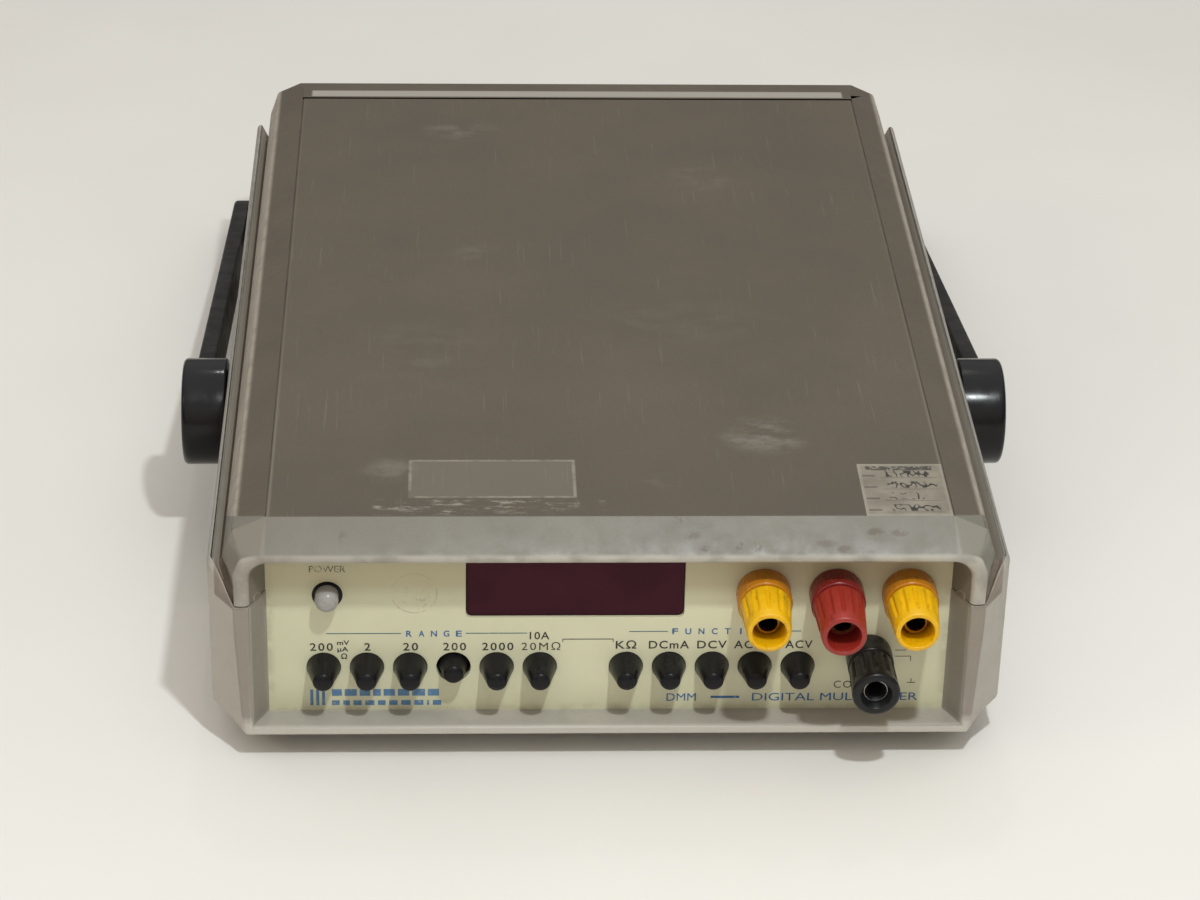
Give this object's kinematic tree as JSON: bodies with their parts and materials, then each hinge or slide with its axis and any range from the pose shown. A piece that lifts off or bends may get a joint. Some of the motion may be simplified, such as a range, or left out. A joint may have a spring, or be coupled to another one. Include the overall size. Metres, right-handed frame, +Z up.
{
  "type": "bench digital multimeter",
  "caption": "Low clamshell bench multimeter with tapered push buttons, a dark display window, coloured binding posts and a swinging carrying handle on round side hubs.",
  "frame": {"origin": "centre of the bounding box at the bottom of the rubber feet", "axes": "+X to the right of the front panel, +Y to the rear, +Z up; the front panel faces -Y"},
  "size_m": [0.2356, 0.3376, 0.0686],
  "materials": {
    "case_grey": "lightly textured moulded plastic, a little grimy",
    "top_taupe": "fine grained taupe sheet with scuffs",
    "panel_cream": "satin cream panel with printed legends",
    "window_maroon": "dark red filter",
    "black_plastic": "semi-gloss black",
    "handle_black": "dark charcoal satin",
    "white_plastic": "pale grey",
    "yellow_plastic": "bright yellow",
    "orange_plastic": "orange-yellow",
    "red_plastic": "red",
    "steel": "plain",
    "plated": "nickel plated",
    "rubber": "dull",
    "board_green": "solder mask",
    "copper_coil": "taped winding",
    "glass_fuse": "clear"
  },
  "bodies": {
    "case": {"lower_case": "case_grey", "upper_case": "case_grey", "front_visor": "case_grey", "top_panel": "top_taupe", "front_panel": "panel_cream", "display_window": "window_maroon", "post_collar_common": "black_plastic", "mains_inlet": "black_plastic", "fuse_holder": "black_plastic", "power_switch": "black_plastic", "led_digits": "black_plastic", "chips": "black_plastic", "post_collar_left": "orange_plastic", "post_collar_right": "orange_plastic", "post_collar_red": "red_plastic", "pivot_left": "steel", "pivot_right": "steel", "pivot_washers": "steel", "pivot_screws": "steel", "case_screws": "steel", "board_screws": "steel", "rear_panel": "steel", "transformer_core": "steel", "range_switches": "steel", "function_switches": "steel", "capacitors": "steel", "inlet_pins": "steel", "post_nuts": "steel", "post_studs": "plated", "rubber_feet": "rubber", "main_board": "board_green", "display_board": "board_green", "transformer_coil": "copper_coil", "fuse": "glass_fuse"},
    "handle": {"handle": "handle_black", "hub_cap_left": "black_plastic", "hub_cap_right": "black_plastic"},
    "power_button": {"power_button": "white_plastic"},
    "fuse_cap": {"fuse_cap": "black_plastic"},
    "range_button_1": {"range_button_1": "black_plastic"},
    "range_button_2": {"range_button_2": "black_plastic"},
    "range_button_3": {"range_button_3": "black_plastic"},
    "range_button_4": {"range_button_4": "black_plastic"},
    "range_button_5": {"range_button_5": "black_plastic"},
    "range_button_6": {"range_button_6": "black_plastic"},
    "function_button_1": {"function_button_1": "black_plastic"},
    "function_button_2": {"function_button_2": "black_plastic"},
    "function_button_3": {"function_button_3": "black_plastic"},
    "function_button_4": {"function_button_4": "black_plastic"},
    "function_button_5": {"function_button_5": "black_plastic"},
    "post_cap_left": {"post_cap_left": "yellow_plastic"},
    "post_cap_red": {"post_cap_red": "red_plastic"},
    "post_cap_right": {"post_cap_right": "yellow_plastic"},
    "post_cap_common": {"post_cap_common": "black_plastic"}
  },
  "joints": [
    {"name": "handle_swing", "type": "hinge", "parent": "case", "child": "handle", "pos_m": [0, -0.0323, 0.0382], "axis": [1, 0, 0], "range_deg": [0, 198]},
    {"name": "range_button_1_push", "type": "slide", "parent": "case", "child": "range_button_1", "axis": [0, 1, 0], "range_m": [0, 0.0037], "stiffness_N_per_m": 400},
    {"name": "range_button_2_push", "type": "slide", "parent": "case", "child": "range_button_2", "axis": [0, 1, 0], "range_m": [0, 0.0037], "stiffness_N_per_m": 400},
    {"name": "range_button_3_push", "type": "slide", "parent": "case", "child": "range_button_3", "axis": [0, 1, 0], "range_m": [0, 0.0037], "stiffness_N_per_m": 400},
    {"name": "range_button_4_push", "type": "slide", "parent": "case", "child": "range_button_4", "axis": [0, 1, 0], "range_m": [-0.0037, 0]},
    {"name": "range_button_5_push", "type": "slide", "parent": "case", "child": "range_button_5", "axis": [0, 1, 0], "range_m": [0, 0.0037], "stiffness_N_per_m": 400},
    {"name": "range_button_6_push", "type": "slide", "parent": "case", "child": "range_button_6", "axis": [0, 1, 0], "range_m": [0, 0.0037], "stiffness_N_per_m": 400},
    {"name": "function_button_1_push", "type": "slide", "parent": "case", "child": "function_button_1", "axis": [0, 1, 0], "range_m": [0, 0.0037], "stiffness_N_per_m": 400},
    {"name": "function_button_2_push", "type": "slide", "parent": "case", "child": "function_button_2", "axis": [0, 1, 0], "range_m": [0, 0.0037], "stiffness_N_per_m": 400},
    {"name": "function_button_3_push", "type": "slide", "parent": "case", "child": "function_button_3", "axis": [0, 1, 0], "range_m": [0, 0.0037], "stiffness_N_per_m": 400},
    {"name": "function_button_4_push", "type": "slide", "parent": "case", "child": "function_button_4", "axis": [0, 1, 0], "range_m": [0, 0.0037], "stiffness_N_per_m": 400},
    {"name": "function_button_5_push", "type": "slide", "parent": "case", "child": "function_button_5", "axis": [0, 1, 0], "range_m": [0, 0.0037], "stiffness_N_per_m": 400},
    {"name": "power_button_push", "type": "slide", "parent": "case", "child": "power_button", "axis": [0, 1, 0], "range_m": [0, 0.004], "stiffness_N_per_m": 400},
    {"name": "post_cap_left_turn", "type": "hinge", "parent": "case", "child": "post_cap_left", "pos_m": [0.04005, -0.1552, 0.046], "axis": [0, -1, 0], "range_deg": [0, 720]},
    {"name": "post_cap_red_turn", "type": "hinge", "parent": "case", "child": "post_cap_red", "pos_m": [0.0591, -0.1552, 0.046], "axis": [0, -1, 0], "range_deg": [0, 720]},
    {"name": "post_cap_right_turn", "type": "hinge", "parent": "case", "child": "post_cap_right", "pos_m": [0.07815, -0.1552, 0.046], "axis": [0, -1, 0], "range_deg": [0, 720]},
    {"name": "post_cap_common_turn", "type": "hinge", "parent": "case", "child": "post_cap_common", "pos_m": [0.06863, -0.1552, 0.02695], "axis": [0, -1, 0], "range_deg": [0, 720]},
    {"name": "fuse_cap_turn", "type": "hinge", "parent": "case", "child": "fuse_cap", "pos_m": [0.012, 0.1328, 0.031], "axis": [0, 1, 0], "range_deg": [0, 90]}
  ]
}
